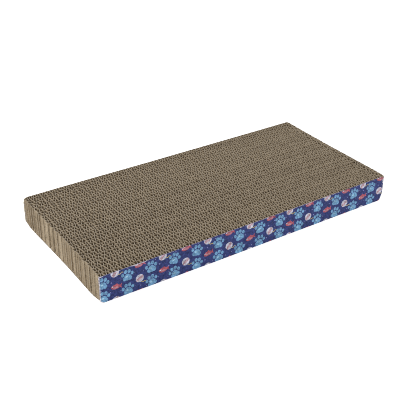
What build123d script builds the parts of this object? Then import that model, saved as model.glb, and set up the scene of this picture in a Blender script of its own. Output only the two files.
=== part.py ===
"""Cardboard cat scratcher: a flat pad of corrugated board strips.

Strips sawn from corrugated board stand on edge, side by side, with their flutes upright, so the
pad's top and bottom show the open cells of the board. Glue films hold neighbouring strips together,
and a printed paper sheet faces each long side. The ends are bare, sawn board.

The frame has its origin at the bottom centre: +X along the strips, +Z up, the printed front at -Y.
"""
from build123d import *
import os
from math import atan2, ceil, cos

# Driving dimensions, in millimetres
PAD_LENGTH = 430.0
PAD_HEIGHT = 36.0
STRIP_COUNT = 34
BOARD_THICKNESS = 6.1  # one strip, over both of its liners
LINER_THICKNESS = 0.3
MEDIUM_THICKNESS = 0.3
FLUTE_PITCH = 18.0  # crest to crest
GLUE_THICKNESS = 0.05
GLUE_MARGIN = 3.0  # from the film's edge to the sawn edges of the board
SHEET_THICKNESS = 0.6  # the printed paper on a long side

# The flutes of each strip start this share of a pitch further along than those of the strip before,
# because strips are glued up with no care for where their flutes fall.
FLUTE_SHIFT_SHARE = 0.382

# Sizes that follow from them
STRIP_SPACING = BOARD_THICKNESS + GLUE_THICKNESS
PAD_WIDTH = STRIP_COUNT * STRIP_SPACING + GLUE_THICKNESS + 2 * SHEET_THICKNESS
FRONT_Y = -PAD_WIDTH / 2
FIRST_STRIP_Y = FRONT_Y + SHEET_THICKNESS + GLUE_THICKNESS
FLUTE_SPACE = BOARD_THICKNESS - 2 * LINER_THICKNESS  # between the liners
HALF_LENGTH = PAD_LENGTH / 2
HALF_PITCH = FLUTE_PITCH / 2


def sheet(length, thickness, height, front_y, bottom_z):
    """A flat upright layer along X, centred on the pad's length."""
    layer = Box(length, thickness, height, align=(Align.CENTER, Align.MIN, Align.MIN))
    return Pos(0, front_y, bottom_z) * layer


def medium(flute_shift, front_y):
    """The fluted paper of one strip: it folds to and fro between the liners and touches both.

    The real board has more than twice as many flutes, with rounded folds. Fewer flutes with straight
    sides stand for them, because the pad has so many.
    """
    slope = atan2(FLUTE_SPACE - MEDIUM_THICKNESS, HALF_PITCH)
    thickness_along_y = MEDIUM_THICKNESS / cos(slope)
    fold_height = FLUTE_SPACE - thickness_along_y
    first_fold_x = flute_shift - HALF_LENGTH - FLUTE_PITCH

    def rise(x):
        """Height of the paper above the front liner, as a share of the fold height."""
        return 1 - abs((x - first_fold_x) / HALF_PITCH % 2 - 1)

    # A fold that falls closer to a sawn end than the paper's thickness is left out.
    folds = [first_fold_x + index * HALF_PITCH for index in range(ceil(PAD_LENGTH / HALF_PITCH) + 3)]
    inner_folds = [x for x in folds if abs(x) < HALF_LENGTH - MEDIUM_THICKNESS]
    near_side = [(x, fold_height * rise(x)) for x in [-HALF_LENGTH, *inner_folds, HALF_LENGTH]]
    far_side = [(x, y + thickness_along_y) for x, y in reversed(near_side)]
    profile = Polygon(*near_side, *far_side, align=None)
    return Pos(0, front_y, 0) * extrude(profile, amount=PAD_HEIGHT, dir=(0, 0, 1))


def strip(number):
    """One strip of board: a medium between two liners, all sawn to the pad's length and height."""
    strip_y = FIRST_STRIP_Y + number * STRIP_SPACING
    inner_y = strip_y + LINER_THICKNESS
    flute_shift = number * FLUTE_SHIFT_SHARE % 1 * FLUTE_PITCH
    front_liner = sheet(PAD_LENGTH, LINER_THICKNESS, PAD_HEIGHT, strip_y, 0)
    back_liner = sheet(PAD_LENGTH, LINER_THICKNESS, PAD_HEIGHT, inner_y + FLUTE_SPACE, 0)
    return Compound(children=[front_liner, medium(flute_shift, inner_y), back_liner])


def glue_films():
    """The films between neighbouring strips, and those under the two printed sheets."""
    film_length = PAD_LENGTH - 2 * GLUE_MARGIN
    film_height = PAD_HEIGHT - 2 * GLUE_MARGIN
    first_film_y = FIRST_STRIP_Y - GLUE_THICKNESS
    films = []
    for number in range(STRIP_COUNT + 1):
        film_y = first_film_y + number * STRIP_SPACING
        films.append(sheet(film_length, GLUE_THICKNESS, film_height, film_y, GLUE_MARGIN))
    return Compound(children=films)


# Each piece of the pad, by node name, from the front to the back
nodes = {"front_printed_sheet": sheet(PAD_LENGTH, SHEET_THICKNESS, PAD_HEIGHT, FRONT_Y, 0)}
for number in range(STRIP_COUNT):
    nodes[f"strip_{number + 1:02d}"] = strip(number)
back_sheet_y = FRONT_Y + PAD_WIDTH - SHEET_THICKNESS
nodes["back_printed_sheet"] = sheet(PAD_LENGTH, SHEET_THICKNESS, PAD_HEIGHT, back_sheet_y, 0)
nodes["glue_films"] = glue_films()

os.makedirs("parts", exist_ok=True)
for name, shape in nodes.items():
    export_step(shape, f"parts/{name}.step")
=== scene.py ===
from math import cos, pi, radians, sin

import bpy
import numpy as np
from mathutils import Euler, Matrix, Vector
from mathutils.geometry import delaunay_2d_cdt


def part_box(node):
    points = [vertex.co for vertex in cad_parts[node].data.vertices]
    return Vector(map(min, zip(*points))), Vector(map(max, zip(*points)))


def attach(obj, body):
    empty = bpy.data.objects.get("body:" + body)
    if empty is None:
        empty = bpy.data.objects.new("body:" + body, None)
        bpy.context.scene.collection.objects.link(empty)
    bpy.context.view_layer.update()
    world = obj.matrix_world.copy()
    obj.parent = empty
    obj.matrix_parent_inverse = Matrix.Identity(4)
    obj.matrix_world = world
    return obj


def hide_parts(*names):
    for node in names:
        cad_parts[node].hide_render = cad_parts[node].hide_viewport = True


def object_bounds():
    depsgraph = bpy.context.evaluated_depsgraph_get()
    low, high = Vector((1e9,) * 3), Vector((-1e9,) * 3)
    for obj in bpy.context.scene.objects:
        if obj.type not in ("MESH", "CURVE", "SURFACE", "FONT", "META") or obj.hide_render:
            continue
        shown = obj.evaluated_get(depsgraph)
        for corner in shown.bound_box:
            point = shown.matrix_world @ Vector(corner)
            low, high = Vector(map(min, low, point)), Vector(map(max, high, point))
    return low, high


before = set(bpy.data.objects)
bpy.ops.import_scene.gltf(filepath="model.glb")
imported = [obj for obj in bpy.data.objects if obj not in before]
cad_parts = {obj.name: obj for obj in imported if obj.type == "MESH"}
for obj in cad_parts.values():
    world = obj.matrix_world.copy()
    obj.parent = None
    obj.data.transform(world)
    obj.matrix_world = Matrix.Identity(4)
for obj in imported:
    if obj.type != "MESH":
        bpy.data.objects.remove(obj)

cad_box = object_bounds()

# Board strips
# Each strip is sawn from brown corrugated board: a fluted medium between two flat liners, glued together at
# the mill. It stands on edge, so its flutes are upright and open at the top and the bottom, and glue on its
# liners holds it to its neighbours. Two grades of board, coarse and fine, take turns across the pad.
MM = 0.001
PAD_LOW, PAD_HIGH = (np.array(corner) for corner in cad_box)
END_STAND_OUT = 0.8 * MM
LEFT_END = PAD_LOW[0] - END_STAND_OUT
RIGHT_END = PAD_HIGH[0] + END_STAND_OUT
random = np.random.default_rng(34)

# How far each side of the worn pad stands out from a true rectangle: places along it, then amounts, in mm.
FRONT_OUT = (-215, -150, -60, 30, 120, 215), (0.3, 0.7, 1.1, 0.8, 0.4, 0.3)
BACK_OUT = (-215, -150, -100, -40, 215), (1.8, 1.8, 1.5, 0.9, 0.9)
LEFT_OUT = (-105, -60, -15, 40, 75, 105), (0, -0.6, -1.0, -0.3, 0.6, 1.4)
RIGHT_OUT = (-105, -60, 0, 60, 105), (0.9, 0.5, 0, 0.5, 1.2)
END_WEAR_REACH = 25 * MM


def near_end(from_end):
    """A weight that falls from one at an end of the pad to nothing further in."""
    return np.clip(1 - from_end / END_WEAR_REACH, 0, 1) ** 2


def bowed(points):
    """Moves points as the pad's sides bow out of true, fading to nothing further in."""
    x, y, z = points.T
    front, back = (np.interp(x / MM, *out) * MM for out in (FRONT_OUT, BACK_OUT))
    left, right = (np.interp(y / MM, *out) * MM for out in (LEFT_OUT, RIGHT_OUT))
    x_bow = right * near_end(RIGHT_END - x) - left * near_end(x - LEFT_END)
    y_bow = back * np.clip(y / PAD_HIGH[1], 0, 1) - front * np.clip(y / PAD_LOW[1], 0, 1)
    return np.stack([x + x_bow, y + y_bow, z], axis=1)


# The corners are crushed round: heights, then the radius at each, in mm.
FRONT_RIGHT_ROUNDING = (0, 4, 9, 14, 33.5, 36), (9.5, 7, 4.5, 4, 4, 2)
FRONT_LEFT_FOOT_ROUNDING = (0, 3, 6), (30, 10, 0)
BACK_LEFT_ROUNDING = (0, 4, 29, 36), (3.5, 3, 3.5, 9)
BACK_LEFT_FOOT_ROUNDING = (0, 2, 4), (40, 10, 0)
BACK_RIGHT_ROUNDING = (0, 36), (3, 3)
# Each rounding's end and long side, the room in mm that it leaves for a sheet bent round it, and its depth
# along the pad as a share of its radius.
SHEET_ROOM = 0.7
CRUSHED_CORNERS = (
    (1, -1, SHEET_ROOM, 1, FRONT_RIGHT_ROUNDING),
    (-1, -1, 0, 0.2, FRONT_LEFT_FOOT_ROUNDING),
    (-1, 1, SHEET_ROOM, 1, BACK_LEFT_ROUNDING),
    (-1, 1, 0, 0.06, BACK_LEFT_FOOT_ROUNDING),
    (1, 1, 0, 1, BACK_RIGHT_ROUNDING),
)
SHEET_ROOM_REACH = 8 * MM
LEFT_FOOT_HEIGHT = 2.5 * MM
LEFT_FOOT_PRESS_REACH = 20 * MM
RIGHT_END_PRESSING = 0.9
RIGHT_END_PRESS_REACH = 8 * MM


def corner_loss(inside, radius):
    """How far a corner that is crushed round cuts back a paper that lies this far inside the long side."""
    short = np.clip(radius - inside, 0, radius)
    return radius - np.sqrt(radius ** 2 - short ** 2)


def settled(points):
    """Moves points of a square, flat pad to where the worn one has them.

    The foot of its left end and all of its right end are pressed flush, its corners are crushed
    round, and its sides bow out.
    """
    x, y, z = points.T
    above_floor = z - PAD_LOW[2]
    left_foot = np.clip(1 - above_floor / LEFT_FOOT_HEIGHT, 0, 1)
    for end, from_end, pressing, reach in (
        (-1, x - LEFT_END, left_foot, LEFT_FOOT_PRESS_REACH),
        (1, RIGHT_END - x, RIGHT_END_PRESSING, RIGHT_END_PRESS_REACH),
    ):
        x = x + end * from_end * pressing * np.clip(1 - from_end / reach, 0, 1)
    for end, side, room, depth, rounding in CRUSHED_CORNERS:
        radius = np.interp(above_floor / MM, *rounding) * MM - room * MM
        inside = (PAD_HIGH[1] - y if side > 0 else y - PAD_LOW[1]) - room * MM
        from_end = RIGHT_END - x if end > 0 else x - LEFT_END
        loss = depth * corner_loss(inside, radius)
        loss += room * MM * np.clip(2 - inside / SHEET_ROOM_REACH, 0, 1)
        x = x - end * loss * near_end(from_end)
    return bowed(np.stack([x, y, z], axis=1))


COARSE_FLUTE_PITCH = 7.75 * MM
FINE_FLUTE_PITCH = 6.57 * MM
FLUTE_SQUARENESS = 2.2
# Slow and quick unevenness of the flutes: how far it shifts their phase, and the length that it takes.
FLUTE_UNEVENNESS = ((0.3, 60 * MM), (0.4, 13 * MM), (0.3, 3.7 * MM))
# How far in from each end the medium's last wall stands, in mm: in coarse and in fine board at the left.
LEFT_WALL_INSETS = ((0.4, 1.8), (1.2, 2.5))
RIGHT_WALL_INSETS = (0.9, 1.5)
END_DRAG_REACH = 7 * MM


def flute_line(x, pitch, flute_start, swing, left_insets):
    """Sideways offset of the medium along its strip, with the unevenness of real flutes.

    The saw drags the flutes next to its cut, so a wall of the medium closes each end of the strip.
    """
    phase = 2 * pi * x / pitch + flute_start
    wave_starts = random.uniform(0, 2 * pi, len(FLUTE_UNEVENNESS))
    for (shift, length), wave_start in zip(FLUTE_UNEVENNESS, wave_starts):
        phase += shift * np.sin(x / length + wave_start)
    for end, inward, insets in ((x[0], 1, left_insets), (x[-1], -1, RIGHT_WALL_INSETS)):
        wall = end + inward * random.uniform(*insets) * MM
        wall_phase = np.interp(wall, x, phase)
        dragged = round(wall_phase / pi) * pi - wall_phase
        phase += dragged * np.exp(-((x - end) / END_DRAG_REACH) ** 2)
    return swing * np.tanh(FLUTE_SQUARENESS * np.sin(phase)) / np.tanh(FLUTE_SQUARENESS)


EDGE_FRAY = 1.4
EDGE_FRAY_RANGE = (0.8, 1.2)
END_FRAY = 1.3


def paper_mesh(x, y, thickness, height_rows):
    """Points, flat faces and edge faces of an upright paper along the plan line x, y, closed on all sides.

    The first and last row are sawn edges. The saw frays them, most where the paper crosses the strip and
    no liner holds it, so they are thicker there, and so are the two ends.
    """
    rows = len(height_rows)
    columns = len(x)
    run_x = np.gradient(x)
    run_y = np.gradient(y)
    run = np.hypot(run_x, run_y)
    half = np.full((rows, columns), thickness / 2)
    half[[0, -1]] *= (1 + EDGE_FRAY * (run_y / run) ** 2) * random.uniform(*EDGE_FRAY_RANGE, (2, columns))
    half[:, [0, -1]] *= 1 + random.uniform(0, END_FRAY)
    points = np.empty((2, rows, columns, 3))
    for side, sign in enumerate((-1, 1)):
        points[side, :, :, 0] = x - sign * half * run_y / run
        points[side, :, :, 1] = y + sign * half * run_x / run
        points[side, :, :, 2] = height_rows
    near, far = np.arange(2 * rows * columns).reshape(2, rows, columns)

    def quads(*corners):
        return np.stack([corner.ravel() for corner in corners], axis=1)

    flats = [
        quads(near[:-1, :-1], near[:-1, 1:], near[1:, 1:], near[1:, :-1]),
        quads(far[:-1, 1:], far[:-1, :-1], far[1:, :-1], far[1:, 1:]),
    ]
    edges = [
        quads(near[-1, :-1], near[-1, 1:], far[-1, 1:], far[-1, :-1]),
        quads(near[0, 1:], near[0, :-1], far[0, :-1], far[0, 1:]),
        quads(near[:-1, 0], near[1:, 0], far[1:, 0], far[:-1, 0]),
        quads(near[1:, -1], near[:-1, -1], far[:-1, -1], far[1:, -1]),
    ]
    return settled(points.reshape(-1, 3)), np.concatenate(flats), np.concatenate(edges)


def papers_mesh(name, papers):
    """One mesh of several papers. Each has its own tint, and its sawn edges take the second material."""
    starts = np.cumsum([0] + [len(points) for points, _, _ in papers])
    points = np.concatenate([points for points, _, _ in papers])
    flats = np.concatenate([flats + start for start, (_, flats, _) in zip(starts, papers)])
    edges = np.concatenate([edges + start for start, (_, _, edges) in zip(starts, papers)])
    faces = np.concatenate([flats, edges])
    sawn = np.arange(len(faces)) >= len(flats)
    mesh = bpy.data.meshes.new(name)
    mesh.vertices.add(len(points))
    mesh.vertices.foreach_set("co", points.ravel())
    mesh.loops.add(faces.size)
    mesh.loops.foreach_set("vertex_index", faces.ravel())
    mesh.polygons.add(len(faces))
    mesh.polygons.foreach_set("loop_start", np.arange(0, faces.size, 4))
    mesh.polygons.foreach_set("material_index", sawn.astype(int))
    mesh.update(calc_edges=True)
    mesh.polygons.foreach_set("use_smooth", ~sawn)
    tint = mesh.attributes.new("paper_tint", "FLOAT", "POINT")
    tint.data.foreach_set("value", np.repeat(random.uniform(0, 1, len(papers)), np.diff(starts)))
    return mesh


LINER_THICKNESS = 0.13 * MM
MEDIUM_THICKNESS = 0.24 * MM
LINER_POINT_SPACING = 4 * MM
POINTS_PER_FLUTE = 12
SAWN_LIP_HEIGHT = 2.5 * MM
SAW_ROUGHNESS = 0.18 * MM
STRIP_END_UNEVENNESS = 0.25 * MM
PAPER_END_UNEVENNESS = 0.15 * MM


def strip_mesh(name, low, high, pitch, flute_start, left_insets):
    """The two liners and the medium of one strip, as one mesh."""
    liner_ys = (low[1] + LINER_THICKNESS / 2, high[1] - LINER_THICKNESS / 2)
    swing = (high[1] - low[1] - MEDIUM_THICKNESS) / 2 - LINER_THICKNESS
    strip_ends = random.uniform(0, STRIP_END_UNEVENNESS, 2)
    strip_top = high[2] - random.uniform(0, SAW_ROUGHNESS)
    papers = []
    for middle_y, fluted in ((liner_ys[0], False), (sum(liner_ys) / 2, True), (liner_ys[1], False)):
        left = LEFT_END + strip_ends[0] + random.uniform(0, PAPER_END_UNEVENNESS)
        right = RIGHT_END - strip_ends[1] - random.uniform(0, PAPER_END_UNEVENNESS)
        spacing = pitch / POINTS_PER_FLUTE if fluted else LINER_POINT_SPACING
        x = np.linspace(left, right, round((right - left) / spacing) + 1)
        y = np.full_like(x, middle_y)
        if fluted:
            y += flute_line(x, pitch, flute_start, swing, left_insets)
        height_rows = np.stack([
            low[2] + random.uniform(0, SAW_ROUGHNESS, len(x)),
            np.full_like(x, low[2] + SAWN_LIP_HEIGHT),
            np.full_like(x, strip_top - SAWN_LIP_HEIGHT),
            strip_top - random.uniform(0, SAW_ROUGHNESS, len(x)),
        ])
        thickness = MEDIUM_THICKNESS if fluted else LINER_THICKNESS
        papers.append(paper_mesh(x, y, thickness, height_rows))
    return papers_mesh(name, papers)


def linear(hex_colour):
    """An sRGB hex colour as the linear values, with full alpha, that a shader socket takes."""
    srgb = [int(hex_colour[place:place + 2], 16) / 255 for place in (1, 3, 5)]
    return [c / 12.92 if c <= 0.04045 else ((c + 0.055) / 1.055) ** 2.4 for c in srgb] + [1.0]


def add_node(owner, kind, inputs=None, links=None, **settings):
    """Adds a node to a material or the world, with its settings, fixed inputs and links.

    The links are given as input name to output socket.
    """
    node = owner.node_tree.nodes.new(kind)
    for setting, value in settings.items():
        setattr(node, setting, value)
    for socket, value in (inputs or {}).items():
        node.inputs[socket].default_value = value
    for socket, output in (links or {}).items():
        owner.node_tree.links.new(output, node.inputs[socket])
    return node


def new_material(name):
    """A material with its Principled shader as the only node beside the output."""
    material = bpy.data.materials.new(name)
    material.use_nodes = True
    return material, material.node_tree.nodes["Principled BSDF"]


# Brown kraft paper, uncoated and rolled on a paper machine: dull and a little stained, with long pulp fibres
# and darker flecks.
KRAFT_DARK = "#8F7E66"
KRAFT_LIGHT = "#B4A48B"
KRAFT_FLECK = "#6A5A45"
FIBRE_LENGTH = 3.0 * MM
FIBRE_WIDTH = 0.5 * MM
FLECK_SIZE = 2.5 * MM
STAIN_SIZE = 8 * MM
TINT_WEIGHT = 0.4
STAIN_WEIGHT = 1.2
# The colour sockets of a Mix node go by number, because its other data types have sockets of the same names.
MIX_A = 6
MIX_B = 7
MIX_RESULT = 2
kraft_paper, shader = new_material("kraft_paper")
place = add_node(kraft_paper, "ShaderNodeTexCoord")
stretched = add_node(kraft_paper, "ShaderNodeMapping", links={"Vector": place.outputs["Object"]},
                     inputs={"Scale": (1 / FIBRE_LENGTH, 1 / FIBRE_WIDTH, 1 / FIBRE_WIDTH)})
fibres = add_node(kraft_paper, "ShaderNodeTexNoise", inputs={"Scale": 1.0, "Detail": 3.0, "Roughness": 0.6},
                  links={"Vector": stretched.outputs["Vector"]})
tint = add_node(kraft_paper, "ShaderNodeAttribute", attribute_name="paper_tint")
tone = add_node(kraft_paper, "ShaderNodeMath", operation="MULTIPLY_ADD", inputs={1: TINT_WEIGHT},
                links={0: tint.outputs["Fac"], 2: fibres.outputs["Fac"]})
stains = add_node(kraft_paper, "ShaderNodeTexNoise", inputs={"Scale": 1 / STAIN_SIZE, "Detail": 2.0},
                  links={"Vector": place.outputs["Object"]})
stained = add_node(kraft_paper, "ShaderNodeMath", operation="MULTIPLY_ADD", inputs={1: STAIN_WEIGHT},
                   links={0: stains.outputs["Fac"], 2: tone.outputs["Value"]})
tone_range = add_node(kraft_paper, "ShaderNodeMapRange", inputs={"From Min": 0.9, "From Max": 1.7},
                      links={"Value": stained.outputs["Value"]})
pulp = add_node(kraft_paper, "ShaderNodeMix", data_type="RGBA",
                inputs={MIX_A: linear(KRAFT_DARK), MIX_B: linear(KRAFT_LIGHT)},
                links={"Factor": tone_range.outputs["Result"]})
specks = add_node(kraft_paper, "ShaderNodeTexNoise", inputs={"Scale": 1 / FLECK_SIZE, "Detail": 1.0},
                  links={"Vector": place.outputs["Object"]})
speck_mask = add_node(kraft_paper, "ShaderNodeMapRange", links={"Value": specks.outputs["Fac"]},
                      inputs={"From Min": 0.55, "From Max": 0.7, "To Max": 0.5})
flecked = add_node(kraft_paper, "ShaderNodeMix", data_type="RGBA", inputs={MIX_B: linear(KRAFT_FLECK)},
                   links={"Factor": speck_mask.outputs["Result"], MIX_A: pulp.outputs[MIX_RESULT]})
relief = add_node(kraft_paper, "ShaderNodeBump", inputs={"Strength": 0.35, "Distance": 0.05 * MM},
                  links={"Height": fibres.outputs["Fac"]})
kraft_paper.node_tree.links.new(flecked.outputs[MIX_RESULT], shader.inputs["Base Color"])
kraft_paper.node_tree.links.new(relief.outputs["Normal"], shader.inputs["Normal"])
shader.inputs["Roughness"].default_value = 0.9
shader.inputs["Specular IOR Level"].default_value = 0.2

# The sawn edge of the same paper: torn fibres stand up in a pale, dusty fuzz.
SAWN_DARK = "#A09380"
SAWN_LIGHT = "#C6BBAB"
FUZZ_SIZE = 0.8 * MM
sawn_kraft, shader = new_material("sawn_kraft")
place = add_node(sawn_kraft, "ShaderNodeTexCoord")
fuzz = add_node(sawn_kraft, "ShaderNodeTexNoise", inputs={"Scale": 1 / FUZZ_SIZE, "Detail": 2.0},
                links={"Vector": place.outputs["Object"]})
fuzz_range = add_node(sawn_kraft, "ShaderNodeMapRange", inputs={"From Min": 0.3, "From Max": 0.7},
                      links={"Value": fuzz.outputs["Fac"]})
torn = add_node(sawn_kraft, "ShaderNodeMix", data_type="RGBA",
                inputs={MIX_A: linear(SAWN_DARK), MIX_B: linear(SAWN_LIGHT)},
                links={"Factor": fuzz_range.outputs["Result"]})
relief = add_node(sawn_kraft, "ShaderNodeBump", inputs={"Strength": 0.6, "Distance": 0.1 * MM},
                  links={"Height": fuzz.outputs["Fac"]})
sawn_kraft.node_tree.links.new(torn.outputs[MIX_RESULT], shader.inputs["Base Color"])
sawn_kraft.node_tree.links.new(relief.outputs["Normal"], shader.inputs["Normal"])
shader.inputs["Roughness"].default_value = 0.95
shader.inputs["Specular IOR Level"].default_value = 0.1


def add_piece(name, mesh, node, materials):
    """Puts a mesh in the scene in place of a CAD node, on the part's one body."""
    piece = bpy.data.objects.new(name, mesh)
    bpy.context.scene.collection.objects.link(piece)
    for material in materials:
        mesh.materials.append(material)
    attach(piece, "root")
    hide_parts(node)


# Strips of one grade come off the same board, so their flutes slip only a little from one to the next.
FLUTE_SLIP = 0.8
strip_nodes = sorted(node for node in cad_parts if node.startswith("strip_"))
flute_starts = random.uniform(0, 2 * pi, 2)
for count, node in enumerate(strip_nodes):
    name = f"board_{node}"
    grade = count % 2
    flute_starts[grade] += random.normal(0, FLUTE_SLIP)
    pitch = (COARSE_FLUTE_PITCH, FINE_FLUTE_PITCH)[grade]
    mesh = strip_mesh(name, *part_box(node), pitch, flute_starts[grade], LEFT_WALL_INSETS[grade])
    add_piece(name, mesh, node, [kraft_paper, sawn_kraft])

# Glue films
# White wood glue is rolled on the outer liners before the strips are pressed together, and dries to a thin
# film. It stops short of the sawn edges, and one more film lies under each printed sheet.
GLUE_THICKNESS = 0.05 * MM
GLUE_MARGIN = 3 * MM
GLUE_END_MARGIN = 5 * MM
glue_x = np.arange(PAD_LOW[0] + GLUE_END_MARGIN, PAD_HIGH[0] - GLUE_END_MARGIN, LINER_POINT_SPACING)
glue_rows = np.array([[PAD_LOW[2] + GLUE_MARGIN], [PAD_HIGH[2] - GLUE_MARGIN]])
film_ys = [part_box(node)[0][1] - GLUE_THICKNESS / 2 for node in strip_nodes]
film_ys.append(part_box(strip_nodes[-1])[1][1] + GLUE_THICKNESS / 2)
films = [paper_mesh(glue_x, np.full_like(glue_x, film_y), GLUE_THICKNESS, glue_rows) for film_y in film_ys]
films_mesh = papers_mesh("dried_glue_films", films)

# Dried wood glue: cream, half clear over the brown paper, smooth in some places and dull in others.
GLUE_THIN = "#A8946F"
GLUE_THICK = "#D9CDB0"
GLUE_PATCH_SIZE = 5 * MM
dried_glue, shader = new_material("dried_wood_glue")
place = add_node(dried_glue, "ShaderNodeTexCoord")
patches = add_node(dried_glue, "ShaderNodeTexNoise", inputs={"Scale": 1 / GLUE_PATCH_SIZE, "Detail": 2.0},
                   links={"Vector": place.outputs["Object"]})
spread = add_node(dried_glue, "ShaderNodeMix", data_type="RGBA", links={"Factor": patches.outputs["Fac"]},
                  inputs={MIX_A: linear(GLUE_THIN), MIX_B: linear(GLUE_THICK)})
gloss = add_node(dried_glue, "ShaderNodeMapRange", inputs={"To Min": 0.75, "To Max": 0.4},
                 links={"Value": patches.outputs["Fac"]})
dried_glue.node_tree.links.new(spread.outputs[MIX_RESULT], shader.inputs["Base Color"])
dried_glue.node_tree.links.new(gloss.outputs["Result"], shader.inputs["Roughness"])
add_piece("dried_glue_films", films_mesh, "glue_films", [dried_glue, dried_glue])

# Printed sheets
# A white paper printed in flat inks is glued over each long side and bends into the crushed corner at its
# right. It was sawn with the pad, so its print is cropped, and its white core shows along the worn edges.
# Positions on a sheet are in mm from its lower left, seen from outside.
SHEET_HEIGHT = (PAD_HIGH[2] - PAD_LOW[2]) / MM
SHEET_LENGTH = (RIGHT_END - LEFT_END) / MM
SHEET_THICKNESS = 0.6
INK_COLOURS = {
    "core": "#CFCBD2", "ground": "#343D6F", "sky": "#729EC2", "pale_sky": "#9CC4DA", "coral": "#AE5A66",
    "blush": "#B3848D", "cream": "#C5C5D2", "straw": "#B3A26F", "lavender": "#7F83B5",
}
INKS = list(INK_COLOURS)
DISC_POINTS = 16


def disc(x, z, radius, height_share=1.0):
    """A round or oval spot of ink."""
    turns = np.linspace(0, 2 * pi, DISC_POINTS, endpoint=False)
    return np.stack([x + radius * np.cos(turns), z + radius * height_share * np.sin(turns)], axis=1)


def band(line, width):
    """A thread of ink along a line of points."""
    line = np.array(line)
    run = np.gradient(line, axis=0)
    aside = np.stack([-run[:, 1], run[:, 0]], axis=1) / np.linalg.norm(run, axis=1)[:, None]
    return np.concatenate([line - aside * width / 2, (line + aside * width / 2)[::-1]])


def paw_motif():
    """A paw print: a pad of three lobes and four toes."""
    shapes = [("sky", disc(x, z, r)) for x, z, r in ((0, -1.6, 4.0), (-2.6, -3.0, 2.6), (2.6, -3.0, 2.6))]
    shapes += [("sky", disc(x, 1.9, 1.7, 1.25)) for x in (-5.3, 5.3)]
    shapes += [("sky", disc(x, 5.0, 1.8, 1.3)) for x in (-2.0, 2.0)]
    shapes += [("pale_sky", disc(-0.8, -1.0, 1.5, 0.7))]
    return shapes


def fish_motif():
    """A fish: an oval body with a forked tail, a fin, a pale belly and gill, and an eye."""
    tail = np.array([(3.6, 0), (7.2, -3.0), (6.2, 0), (7.2, 3.0)])
    fin = np.array([(-1.6, 2.2), (2.2, 1.8), (1.8, 4.0)])
    body = disc(0, 0, 5.0, 0.56)
    belly = disc(0.8, -0.9, 2.6, 0.4)
    gill = band([(-2.4, -1.6), (-1.8, 0), (-2.4, 1.6)], 0.7)
    eye = disc(-3.4, 0.7, 0.75)
    coral_shapes = [("coral", tail), ("coral", fin), ("coral", body)]
    return coral_shapes + [("blush", belly), ("blush", gill), ("cream", eye)]


def yarn_motif():
    """A ball of yarn: three threads wound across it and a loose end."""
    shapes = [("straw", band([(2.6, -3.6), (5.0, -4.4), (6.6, -3.2), (8.4, -4.4)], 0.9))]
    shapes += [("cream", disc(0, 0, 4.6))]
    for bend in (-2.2, 0, 2.2):
        thread = [(-3.2, -2.4 + bend / 2), (0.4 * bend, bend), (3.2, 2.4 + bend / 2)]
        shapes += [("blush", band(thread, 0.8))]
    return shapes


MOTIF_SCALE = 1.15
MOTIF_COLUMN_PITCH = 15.5
MOTIF_ROW_PITCH = 18.5
MOTIF_ROWS = range(-1, 3)
MOTIF_ROW_START = 0.35
MOTIF_TILT = radians(18)
DOT_TRIES = 600
DOT_CLEARANCE = 8.2
DOT_RADII = (0.5, 0.9)


def print_shapes(length, ground, column_start):
    """Every inked shape of one sheet, lowest first, as an ink and a polygon."""
    shapes = [("ground", ground)]
    centres = []
    for column in range(int(length / MOTIF_COLUMN_PITCH) + 2):
        for row in MOTIF_ROWS:
            place = (column + column_start, row + column % 2 / 2 + MOTIF_ROW_START)
            centres.append(np.array(place) * (MOTIF_COLUMN_PITCH, MOTIF_ROW_PITCH))
            tilt = random.uniform(-MOTIF_TILT, MOTIF_TILT)
            turn = MOTIF_SCALE * np.array([[cos(tilt), sin(tilt)], [-sin(tilt), cos(tilt)]])
            motif = paw_motif if column % 2 == 0 else (fish_motif, yarn_motif)[(column // 2 + row) % 2]
            for ink, polygon in motif():
                shapes.append((ink, polygon @ turn + centres[-1]))
    for dot in random.uniform((0, 0), (length, SHEET_HEIGHT), (DOT_TRIES, 2)):
        if min(np.linalg.norm(np.array(centres) - dot, axis=1)) > DOT_CLEARANCE:
            centres.append(dot)
            shapes.append(("lavender", disc(*dot, random.uniform(*DOT_RADII))))
    return shapes


EDGE_POINT_SPACING = 1.5
CORNER_WEAR_RADIUS = 5


def ragged(start, end, margin, wear):
    """Points along a worn edge from start to end, set in by a margin and up to the wear more."""
    places = np.arange(start, end, EDGE_POINT_SPACING if end > start else -EDGE_POINT_SPACING)
    return places, margin + wear * random.uniform(0, 1, len(places)) ** 3


def sheet_edge(length, margins, wear, chips=()):
    """A sheet's outline set in by its bottom, right, top and left margins, with its lower left corner worn.

    Each chip out of its top edge is given by its place, half its length and its depth.
    """
    bottom, right, top, left = margins
    low_s, low_z = ragged(left + CORNER_WEAR_RADIUS, length - right, bottom, wear)
    right_z, right_s = ragged(bottom, SHEET_HEIGHT - top, right, wear)
    high_s, high_z = ragged(length - right, left, top, wear)
    left_z, left_s = ragged(SHEET_HEIGHT - top, bottom, left, wear)
    left_s += corner_loss(left_z, CORNER_WEAR_RADIUS)
    for chip_s, half_length, depth in chips:
        high_z += depth * np.clip(1 - ((high_s - chip_s) / half_length) ** 4, 0, 1)
    return np.concatenate([
        np.stack([low_s, low_z], axis=1), np.stack([length - right_s, right_z], axis=1),
        np.stack([high_s, SHEET_HEIGHT - high_z], axis=1), np.stack([left_s, left_z], axis=1),
    ])


BEND_SPACING = 10
CORNER_BEND_SPACING = 0.8
CORNER_CREASE_SPACING = 3
SHARP_EDGE_ANGLE = radians(40)
# The triangulation fills the whole hull of its points and joins points that lie closer than this.
WHOLE_HULL = 0
WELD_DISTANCE = 1e-4


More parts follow.
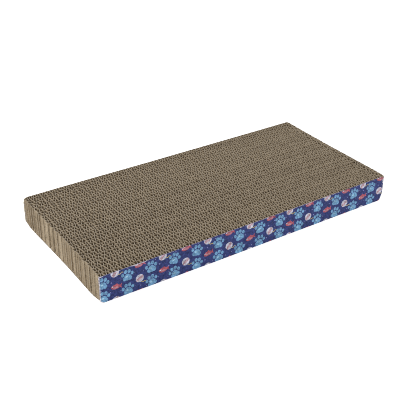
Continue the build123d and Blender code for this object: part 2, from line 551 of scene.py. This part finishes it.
def sheet_mesh(name, length, rounding, facing, shapes, outline, rim_inks):
    """A sheet with its print as inlaid faces, bent to follow the pad and the crushed corner at its right.

    The facing turns the sheet from the front of the pad to the side that it lies on, and the rim inks take
    turns at random along its cut edge.
    """
    bend_start = SHEET_LENGTH - max(rounding[1])
    bend_places = [*np.arange(BEND_SPACING, bend_start, BEND_SPACING)]
    bend_places += [*np.arange(bend_start, length, CORNER_BEND_SPACING)]
    creases = [((s, -1), (s, SHEET_HEIGHT + 1)) for s in bend_places]
    crease_heights = np.arange(CORNER_CREASE_SPACING, SHEET_HEIGHT, CORNER_CREASE_SPACING)
    creases += [((bend_start, z), (length + 1, z)) for z in crease_heights]
    points = []
    faces = []
    for polygon in [outline] + [polygon for _, polygon in shapes]:
        faces.append(list(range(len(points), len(points) + len(polygon))))
        points.extend(polygon)
    edges = []
    for crease in creases:
        edges.append((len(points), len(points) + 1))
        points.extend(crease)
    flat, _, triangles, _, _, sources = delaunay_2d_cdt(
        [Vector(point) for point in points], edges, faces, WHOLE_HULL, WELD_DISTANCE)

    # Each triangle lists the polygons that it lies in: the outline is 0, the ground 1, the motifs follow.
    layer_inks = ["core"] + [ink for ink, _ in shapes]
    kept = [(tuple(triangle), layer_inks[max(source)] if 1 in source else "core")
            for triangle, source in zip(triangles, sources) if 0 in source]
    used = sorted({point for triangle, _ in kept for point in triangle})
    number = {point: place for place, point in enumerate(used)}
    s, z = np.array([flat[point] for point in used]).T
    radius = np.interp(z, *rounding)
    straight = SHEET_LENGTH - radius
    turn = np.clip((s - straight) / radius, 0, pi / 2)
    past = np.clip(s - straight - radius * pi / 2, 0, None)
    layers = []
    for depth in (0, SHEET_THICKNESS):
        x = np.minimum(s, straight) + (radius - depth) * np.sin(turn)
        y = radius - (radius - depth) * np.cos(turn) + past
        layer = np.stack([LEFT_END + x * MM, PAD_LOW[1] + y * MM, PAD_LOW[2] + z * MM], axis=1)
        layers.append(bowed(layer * facing))
    outer = [tuple(number[point] for point in triangle) for triangle, _ in kept]
    inner = [tuple(point + len(used) for point in triangle[::-1]) for triangle in outer]
    sides = {(triangle[k], triangle[k - 2]) for triangle in outer for k in range(3)}
    rim = [(b, a, a + len(used), b + len(used)) for a, b in sorted(sides) if (b, a) not in sides]
    mesh = bpy.data.meshes.new(name)
    mesh.from_pydata(np.concatenate(layers).tolist(), [], outer + inner + rim)
    face_inks = [ink for _, ink in kept] + ["core"] * len(inner) + [random.choice(rim_inks) for _ in rim]
    mesh.polygons.foreach_set("material_index", [INKS.index(ink) for ink in face_inks])
    mesh.shade_smooth()
    mesh.set_sharp_from_angle(angle=SHARP_EDGE_ANGLE)
    return mesh


# Flat printing inks on paper: each covers a little unevenly, is rubbed through in specks and has a soft
# sheen. The bare core of the paper is mottled in the same way.
INK_MOTTLE_SIZE = 2.5 * MM
INK_RUB_SIZE = 0.9 * MM


def printed_ink(name, colour):
    """An ink, or the bare paper core, on the printed sheets."""
    ink, shader = new_material(name)
    place = add_node(ink, "ShaderNodeTexCoord")
    mottle = add_node(ink, "ShaderNodeTexNoise", inputs={"Scale": 1 / INK_MOTTLE_SIZE, "Detail": 2.0},
                      links={"Vector": place.outputs["Object"]})
    strength = add_node(ink, "ShaderNodeMapRange", links={"Value": mottle.outputs["Fac"]},
                        inputs={"From Min": 0.3, "From Max": 0.7, "To Min": 0.6, "To Max": 1.4})
    laid = add_node(ink, "ShaderNodeMix", data_type="RGBA", blend_type="MULTIPLY",
                    inputs={"Factor": 1.0, MIX_A: linear(colour)}, links={MIX_B: strength.outputs["Result"]})
    rub = add_node(ink, "ShaderNodeTexNoise", inputs={"Scale": 1 / INK_RUB_SIZE, "Detail": 1.0},
                   links={"Vector": place.outputs["Object"]})
    rubbed = add_node(ink, "ShaderNodeMapRange", links={"Value": rub.outputs["Fac"]},
                      inputs={"From Min": 0.68, "From Max": 0.78, "To Max": 0.25})
    worn = add_node(ink, "ShaderNodeMix", data_type="RGBA", inputs={MIX_B: linear(INK_COLOURS["core"])},
                    links={"Factor": rubbed.outputs["Result"], MIX_A: laid.outputs[MIX_RESULT]})
    ink.node_tree.links.new(worn.outputs[MIX_RESULT], shader.inputs["Base Color"])
    shader.inputs["Roughness"].default_value = 0.5
    shader.inputs["Specular IOR Level"].default_value = 0.1
    return ink


inks = [printed_ink(f"ink_{name}" if name != "core" else "paper_core", INK_COLOURS[name]) for name in INKS]
OUTLINE_WEAR = 0.15

# The front sheet goes on round its corner, where its top edge is chipped and its print is scuffed. Its cut
# edge shows its core in places. In the others it is painted in the ground and lavender inks, as painted
# shade.
FRONT_PAST_CORNER = 5.0
FRONT_CORNER_CHIP = (SHEET_LENGTH, 6.0, 2.0)
FRONT_GROUND_MARGINS = (0.05, 0.3, 0.0, 1.0)
FRONT_GROUND_WEAR = 0.4
FRONT_GROUND_CHIPS = ((1.5, 4.5, 1.0), (24.0, 4.0, 0.6), (51.0, 11.0, 0.9), (300.0, 5.0, 0.5))
FRONT_COLUMN_START = 0.3
# The ground and lavender on the cut edge are painted shade along that edge; the core is the paper's own.
FRONT_RIM_CORE_AND_PAINTED_SHADE = ("core", "lavender", "ground", "ground")
SCUFF_COUNT = 50
SCUFF_CENTRE = (SHEET_LENGTH - 2.5, 29)
SCUFF_SPREAD = (1.2, 4)
FLAKE_RADII = (0.2, 0.8)
FLAKE_HEIGHT_SHARES = (1, 2)
FLAKE_RAGGEDNESS = (0.3, 1)
front_length = SHEET_LENGTH + FRONT_PAST_CORNER
front_outline = sheet_edge(front_length, (0, 0, 0, 0), OUTLINE_WEAR, [FRONT_CORNER_CHIP])
front_ground = sheet_edge(front_length, FRONT_GROUND_MARGINS, FRONT_GROUND_WEAR, FRONT_GROUND_CHIPS)
front_shapes = print_shapes(front_length, front_ground, FRONT_COLUMN_START)
for centre in random.normal(SCUFF_CENTRE, SCUFF_SPREAD, (SCUFF_COUNT, 2)):
    flake = disc(0, 0, random.uniform(*FLAKE_RADII), random.uniform(*FLAKE_HEIGHT_SHARES))
    flake *= random.uniform(*FLAKE_RAGGEDNESS, (DISC_POINTS, 1))
    front_shapes.append(("core", flake + centre))
front_mesh = sheet_mesh(
    "front_sheet", front_length, FRONT_RIGHT_ROUNDING, (1, 1, 1), front_shapes, front_outline,
    FRONT_RIM_CORE_AND_PAINTED_SHADE)
add_piece("front_sheet", front_mesh, "front_printed_sheet", inks)

# The back sheet stops a little short of the pad's ends and top, and its cut edge has yellowed.
BACK_SHORTFALL = 1.5
BACK_START = 3.5
BACK_OUTLINE_MARGINS = (0, 0, 0.8, BACK_START)
BACK_GROUND_MARGINS = (0.05, 0.4, 0.9, BACK_START + 0.9)
BACK_GROUND_WEAR = 0.35
BACK_COLUMN_START = 0.7
BACK_RIM_INKS = ("straw",)
back_length = SHEET_LENGTH - BACK_SHORTFALL
back_outline = sheet_edge(back_length, BACK_OUTLINE_MARGINS, OUTLINE_WEAR)
back_ground = sheet_edge(back_length, BACK_GROUND_MARGINS, BACK_GROUND_WEAR)
back_shapes = print_shapes(back_length, back_ground, BACK_COLUMN_START)
back_mesh = sheet_mesh(
    "back_sheet", back_length, BACK_LEFT_ROUNDING, (-1, -1, 1), back_shapes, back_outline,
    BACK_RIM_INKS)
add_piece("back_sheet", back_mesh, "back_printed_sheet", inks)

# Floor
# A white studio sweep. For the camera it glows a little, which makes it as white as the backdrop, except
# under the pad, where the open cells let the eye down to a floor in shade.
FLOOR_WIDTH = 6.0
FLOOR_DROP = 0.05 * MM
SHADE_RISE = 0.02 * MM
SHADE_INSET = 0.3 * MM
SHADE_POINTS_PER_SIDE = 250
SWEEP_WHITE = "#F2F2F2"
SWEEP_GLOW = 0.68


def outline_points(low, high, points_per_side):
    """Points round a level rectangle, counter-clockwise from its low corner."""
    steps = np.linspace(0, 4, 4 * points_per_side, endpoint=False)
    x = np.interp(steps, range(5), (low[0], high[0], high[0], low[0], low[0]))
    y = np.interp(steps, range(5), (low[1], low[1], high[1], high[1], low[1]))
    return np.stack([x, y, np.full_like(x, low[2])], axis=1)


floor_reach = np.array((FLOOR_WIDTH / 2, FLOOR_WIDTH / 2, 0))
sweep_points = outline_points(-floor_reach, floor_reach, 1)
# The patch in shade lies just above the sweep and follows the foot of the worn pad.
inset = np.array((SHADE_INSET, SHADE_INSET, 0))
shade_low = inset + (LEFT_END, PAD_LOW[1], PAD_LOW[2])
shade_high = (RIGHT_END, PAD_HIGH[1], PAD_LOW[2]) - inset
shade_points = settled(outline_points(shade_low, shade_high, SHADE_POINTS_PER_SIDE)) + (0, 0, SHADE_RISE)
floor_points = np.concatenate([sweep_points, shade_points])
floor_faces = [range(len(sweep_points)), range(len(sweep_points), len(floor_points))]
floor_mesh = bpy.data.meshes.new("floor")
floor_mesh.from_pydata(floor_points.tolist(), [], floor_faces)
floor_mesh.polygons[1].material_index = 1
floor = bpy.data.objects.new("floor", floor_mesh)
bpy.context.scene.collection.objects.link(floor)
floor.location.z = PAD_LOW[2] - FLOOR_DROP


def shows_backdrop(owner):
    """One for rays that show the white backdrop: straight from the camera, mirrored or through glass."""
    path = add_node(owner, "ShaderNodeLightPath")
    mirrored = add_node(owner, "ShaderNodeMath", operation="MAXIMUM",
                        links={0: path.outputs["Is Camera Ray"], 1: path.outputs["Is Glossy Ray"]})
    shown = add_node(owner, "ShaderNodeMath", operation="MAXIMUM",
                     links={0: mirrored.outputs["Value"], 1: path.outputs["Is Transmission Ray"]})
    return shown.outputs["Value"]


for name, strength in (("white_sweep", SWEEP_GLOW), ("white_sweep_in_shade", 0.0)):
    sweep, shader = new_material(name)
    shader.inputs["Base Color"].default_value = linear(SWEEP_WHITE)
    shader.inputs["Roughness"].default_value = 1.0
    shader.inputs["Specular IOR Level"].default_value = 0.0
    shader.inputs["Emission Color"].default_value = linear("#FFFFFF")
    glow = add_node(sweep, "ShaderNodeMath", operation="MULTIPLY", inputs={1: strength},
                    links={0: shows_backdrop(sweep)})
    sweep.node_tree.links.new(glow.outputs["Value"], shader.inputs["Emission Strength"])
    floor_mesh.materials.append(sweep)

# Light
# A bright room all round, one large softbox high at the left and a low one in front, as in a plain product
# photograph. The low one lights the printed side without shining into the cells.
ROOM_BRIGHTNESS = 0.52
BACKDROP_BRIGHTNESS = 1.0
# Each softbox: its name, width and height in metres, watts and place.
SOFTBOXES = (
    ("softbox_left", 1.0, 0.8, 16.0, (-1.4, 0.5, 0.9)),
    ("softbox_front", 1.4, 0.25, 8.4, (0.5, -1.5, 0.15)),
)
world = bpy.data.worlds.new("studio")
bpy.context.scene.world = world
world.use_nodes = True
room = world.node_tree.nodes["Background"]
room.inputs["Color"].default_value = linear("#FFFFFF")
brightness = add_node(world, "ShaderNodeMapRange", links={"Value": shows_backdrop(world)},
                      inputs={"To Min": ROOM_BRIGHTNESS, "To Max": BACKDROP_BRIGHTNESS})
world.node_tree.links.new(brightness.outputs["Result"], room.inputs["Strength"])
for name, width, height, watts, place in SOFTBOXES:
    softbox_data = bpy.data.lights.new(name, "AREA")
    softbox_data.shape = "RECTANGLE"
    softbox_data.size = width
    softbox_data.size_y = height
    softbox_data.energy = watts
    softbox = bpy.data.objects.new(name, softbox_data)
    softbox.location = place
    softbox.rotation_euler = (-softbox.location).to_track_quat("-Z", "Y").to_euler()
    bpy.context.scene.collection.objects.link(softbox)

# Camera
# A short telephoto lens, looking down on the pad's front left corner. The open cells are only a few pixels
# wide, so the pixel filter is as narrow as in a sharp photograph, and the denoiser is off: it would smooth
# the cells away as if they were noise.
CAMERA_AIM = Vector((-10.93, 3.14, 18.0)) * MM
CAMERA_DISTANCE = 1087.4 * MM
CAMERA_ELEVATION = 29.73
CAMERA_AZIMUTH = -33.34
FOCAL_LENGTH = 74.0
SENSOR_WIDTH = 36.0
PIXEL_FILTER_WIDTH = 1.0
camera_data = bpy.data.cameras.new("camera")
camera_data.lens = FOCAL_LENGTH
camera_data.sensor_width = SENSOR_WIDTH
camera = bpy.data.objects.new("camera", camera_data)
camera.rotation_euler = Euler((radians(90 - CAMERA_ELEVATION), 0, radians(CAMERA_AZIMUTH)))
camera.location = CAMERA_AIM + camera.rotation_euler.to_matrix() @ Vector((0, 0, CAMERA_DISTANCE))
bpy.context.scene.collection.objects.link(camera)
bpy.context.scene.camera = camera
bpy.context.scene.view_settings.view_transform = "Standard"
bpy.context.scene.cycles.filter_width = PIXEL_FILTER_WIDTH
bpy.context.scene.cycles.use_denoising = False
